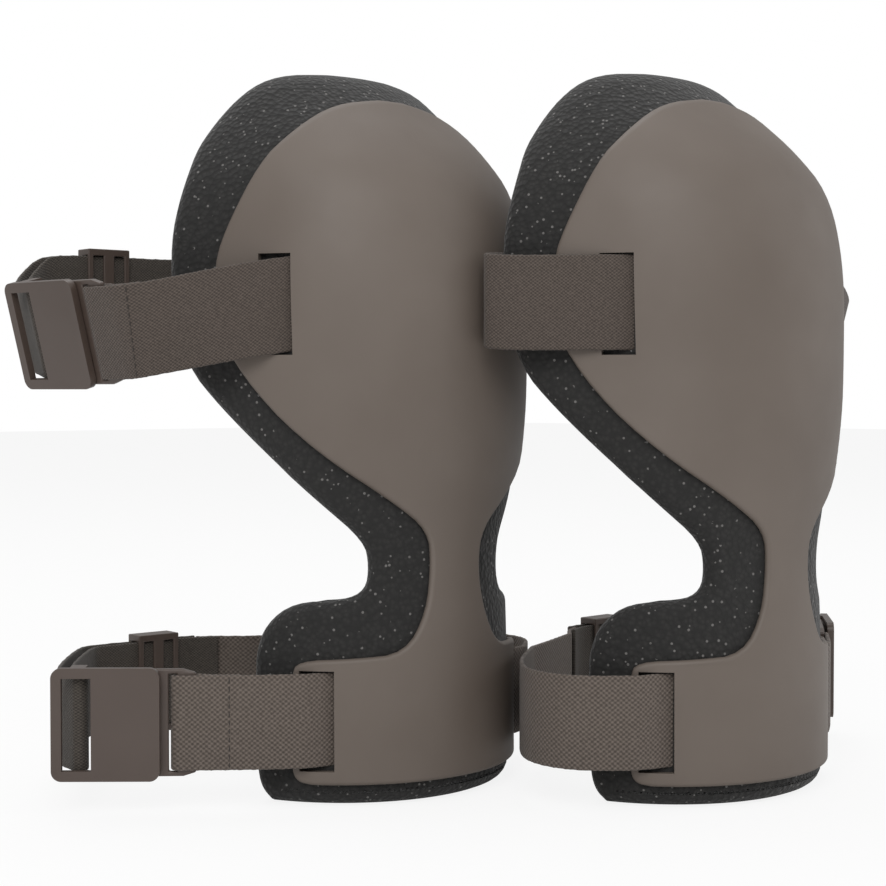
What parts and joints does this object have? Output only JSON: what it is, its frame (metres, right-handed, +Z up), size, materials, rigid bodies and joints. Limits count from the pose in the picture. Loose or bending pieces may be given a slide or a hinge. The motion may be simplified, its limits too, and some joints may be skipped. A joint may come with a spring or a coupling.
{
  "type": "knee pads",
  "caption": "Pair of long knee pads, each a bonded curved shell on a thick foam pad, with upper and lower elastic straps that close with hook-in plate buckles.",
  "frame": {"origin": "on the floor, at the middle of the pair's bounding box", "axes": "+Z up along the shins, -Y the way both knees face, +X towards the right pad's side"},
  "size_m": [0.3712, 0.2541, 0.296],
  "materials": {
    "shell": "matte",
    "foam": "dotted mesh fabric over foam",
    "lining": "soft knit",
    "cushion": "soft gel",
    "elastic": "woven elastic",
    "webbing": "woven",
    "plate": "satin moulded"
  },
  "bodies": {
    "left_pad": {"left_shell": "shell", "left_foam_pad": "foam", "left_lining": "lining", "left_knee_cushion": "cushion", "left_upper_front_elastic": "elastic", "left_upper_rear_elastic": "elastic", "left_upper_webbing": "webbing", "left_upper_catch_plate": "plate", "left_lower_front_elastic": "elastic", "left_lower_rear_elastic": "elastic", "left_lower_webbing": "webbing", "left_lower_catch_plate": "plate"},
    "left_upper_latch_plate": {"left_upper_latch_plate": "plate"},
    "left_upper_slider": {"left_upper_slider": "plate"},
    "left_lower_latch_plate": {"left_lower_latch_plate": "plate"},
    "left_lower_slider": {"left_lower_slider": "plate"},
    "right_pad": {"right_shell": "shell", "right_foam_pad": "foam", "right_lining": "lining", "right_knee_cushion": "cushion", "right_upper_front_elastic": "elastic", "right_upper_rear_elastic": "elastic", "right_upper_webbing": "webbing", "right_upper_catch_plate": "plate", "right_lower_front_elastic": "elastic", "right_lower_rear_elastic": "elastic", "right_lower_webbing": "webbing", "right_lower_catch_plate": "plate"},
    "right_upper_latch_plate": {"right_upper_latch_plate": "plate"},
    "right_upper_slider": {"right_upper_slider": "plate"},
    "right_lower_latch_plate": {"right_lower_latch_plate": "plate"},
    "right_lower_slider": {"right_lower_slider": "plate"}
  },
  "joints": [
    {"name": "right_pad_apart", "type": "slide", "parent": "left_pad", "child": "right_pad", "axis": [0.7293, -0.6842, 0], "range_m": [0, 0.3]},
    {"name": "left_upper_latch", "type": "hinge", "parent": "left_pad", "child": "left_upper_latch_plate", "pos_m": [-0.16623, 0.09165, 0.18728], "axis": [0.2564, 0.0351, -0.9659], "range_deg": [0, 24]},
    {"name": "left_upper_adjust", "type": "slide", "parent": "left_pad", "child": "left_upper_slider", "axis": [0.9988, -0.0482, 0], "range_m": [-0.008, 0.006]},
    {"name": "left_lower_latch", "type": "hinge", "parent": "left_pad", "child": "left_lower_latch_plate", "pos_m": [-0.17337, 0.05354, 0.0345], "axis": [0, 0, -1], "range_deg": [0, 36]},
    {"name": "left_lower_adjust", "type": "slide", "parent": "left_pad", "child": "left_lower_slider", "axis": [0.9991, -0.0432, 0], "range_m": [-0.008, 0.006]},
    {"name": "right_upper_latch", "type": "hinge", "parent": "right_pad", "child": "right_upper_latch_plate", "pos_m": [0.16623, 0.00065, 0.18728], "axis": [0.2564, -0.0351, 0.9659], "range_deg": [0, 24]},
    {"name": "right_upper_adjust", "type": "slide", "parent": "right_pad", "child": "right_upper_slider", "axis": [-0.9988, -0.0482, 0], "range_m": [-0.008, 0.006]},
    {"name": "right_lower_latch", "type": "hinge", "parent": "right_pad", "child": "right_lower_latch_plate", "pos_m": [0.17337, -0.03746, 0.0345], "axis": [0, 0, 1], "range_deg": [0, 36]},
    {"name": "right_lower_adjust", "type": "slide", "parent": "right_pad", "child": "right_lower_slider", "axis": [-0.9991, -0.0432, 0], "range_m": [-0.008, 0.006]}
  ]
}
